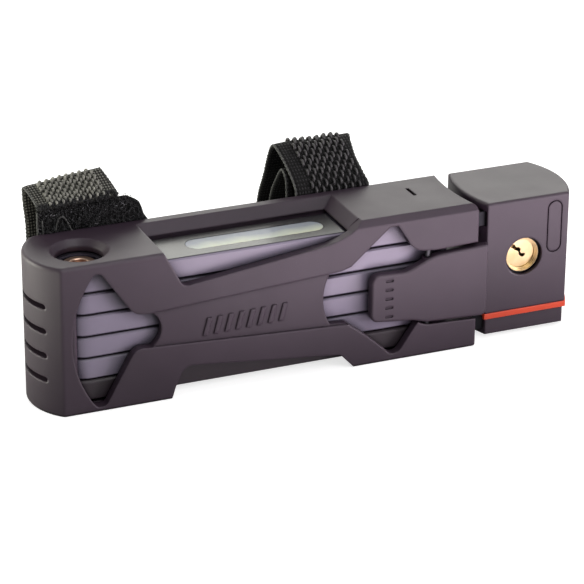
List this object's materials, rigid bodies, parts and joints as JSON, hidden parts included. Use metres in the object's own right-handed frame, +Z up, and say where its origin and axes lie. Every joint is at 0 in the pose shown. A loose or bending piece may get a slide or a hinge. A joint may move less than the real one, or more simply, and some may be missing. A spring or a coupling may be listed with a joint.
{
  "type": "folding bike lock with frame holder",
  "caption": "Folding bicycle lock stacked flat in a moulded frame holder with a press lever, windows, rounded end and hook-and-loop frame straps.",
  "frame": {"origin": "on the face of the soft pad that rests against the bike frame, midway between the two rows of fold pivots, at mid height of the stack of bars", "axes": "+X along the holder towards the lock head, +Y towards the bike frame, +Z up"},
  "size_m": [0.1917, 0.0627, 0.0657],
  "materials": {
    "holder_plastic": "soft matte moulding",
    "lever_plastic": "soft matte moulding",
    "head_plastic": "fine matte",
    "end_block_plastic": "fine matte",
    "pad_rubber": "matte",
    "strap_fabric": "hook and loop webbing",
    "pin_steel": "ground",
    "spring_steel": "drawn wire",
    "hard_steel": "blackened",
    "bar_steel": "rolled",
    "cover_grey": "satin",
    "cover_black": "satin",
    "rivet_copper": "satin",
    "washer_nylon": "smooth",
    "label_metal": "embossed foil",
    "seal_red": "satin",
    "brass": "polished"
  },
  "bodies": {
    "holder": {"holder_shell": "holder_plastic", "frame_pad": "pad_rubber", "lever_pin": "pin_steel", "lever_spring": "spring_steel", "strap_left": "strap_fabric", "strap_right": "strap_fabric"},
    "lever": {"release_lever": "lever_plastic"},
    "lock_head": {"head_cover": "head_plastic", "head_body": "hard_steel", "head_seal": "seal_red", "head_rivet": "rivet_copper", "cylinder_housing": "brass", "cylinder_keeper": "pin_steel", "driver_pins": "brass", "pin_springs": "spring_steel", "bolt_spring": "spring_steel"},
    "plug": {"cylinder_plug": "brass", "key_pins": "brass", "cylinder_cam": "pin_steel"},
    "bolt": {"locking_bolt": "hard_steel"},
    "link_1": {"bar_1": "bar_steel", "cover_1": "cover_grey", "label_plate": "label_metal", "rivet_1_2": "rivet_copper", "washer_1_2": "washer_nylon"},
    "link_2": {"bar_2": "bar_steel", "cover_2": "cover_grey", "rivet_2_3": "rivet_copper", "washer_2_3": "washer_nylon"},
    "link_3": {"bar_3": "bar_steel", "cover_3": "cover_grey", "rivet_3_4": "rivet_copper", "washer_3_4": "washer_nylon"},
    "link_4": {"bar_4": "bar_steel", "cover_4": "cover_grey", "rivet_4_5": "rivet_copper", "washer_4_5": "washer_nylon"},
    "link_5": {"bar_5": "bar_steel", "cover_5": "cover_grey", "rivet_5_6": "rivet_copper", "washer_5_6": "washer_nylon"},
    "link_6": {"bar_6": "bar_steel", "cover_6": "cover_black", "end_block": "end_block_plastic", "locking_stud": "hard_steel"}
  },
  "joints": [
    {"name": "lock_slide", "type": "slide", "parent": "holder", "child": "lock_head", "axis": [1, 0, 0], "range_m": [0, 0.145]},
    {"name": "fold_head", "type": "hinge", "parent": "lock_head", "child": "link_1", "pos_m": [0.0865, -0.0233, 0.01875], "axis": [0, 0, -1], "range_deg": [0, 0.18]},
    {"name": "fold_1_2", "type": "hinge", "parent": "link_1", "child": "link_2", "pos_m": [-0.0595, -0.0233, 0.015], "axis": [0, 0, 1], "range_deg": [0, 0.18]},
    {"name": "fold_2_3", "type": "hinge", "parent": "link_2", "child": "link_3", "pos_m": [0.0595, -0.0233, 0.0075], "axis": [0, 0, 1], "range_deg": [0, 0.18]},
    {"name": "fold_3_4", "type": "hinge", "parent": "link_3", "child": "link_4", "pos_m": [-0.0595, -0.0233, 0], "axis": [0, 0, -1], "range_deg": [0, 0.18]},
    {"name": "fold_4_5", "type": "hinge", "parent": "link_4", "child": "link_5", "pos_m": [0.0595, -0.0233, -0.0075], "axis": [0, 0, -1], "range_deg": [0, 0.18]},
    {"name": "fold_5_6", "type": "hinge", "parent": "link_5", "child": "link_6", "pos_m": [-0.0595, -0.0233, -0.015], "axis": [0, 0, 1], "range_deg": [0, 0.18]},
    {"name": "release_press", "type": "hinge", "parent": "holder", "child": "lever", "pos_m": [0.057, -0.0347, 0], "axis": [0, 0, -1], "range_deg": [0, 5]},
    {"name": "key_turn", "type": "hinge", "parent": "lock_head", "child": "plug", "pos_m": [0.094, -0.018, 0.0035], "axis": [0, -1, 0], "range_deg": [0, 90]},
    {"name": "bolt_draw", "type": "slide", "parent": "lock_head", "child": "bolt", "axis": [1, 0, 0], "range_m": [0, 0.0036], "deforming": ["bolt_spring"]}
  ],
  "couplings": [
    {"joint": "bolt_draw", "follows": "key_turn", "m_per_rad": 0.0022282}
  ]
}
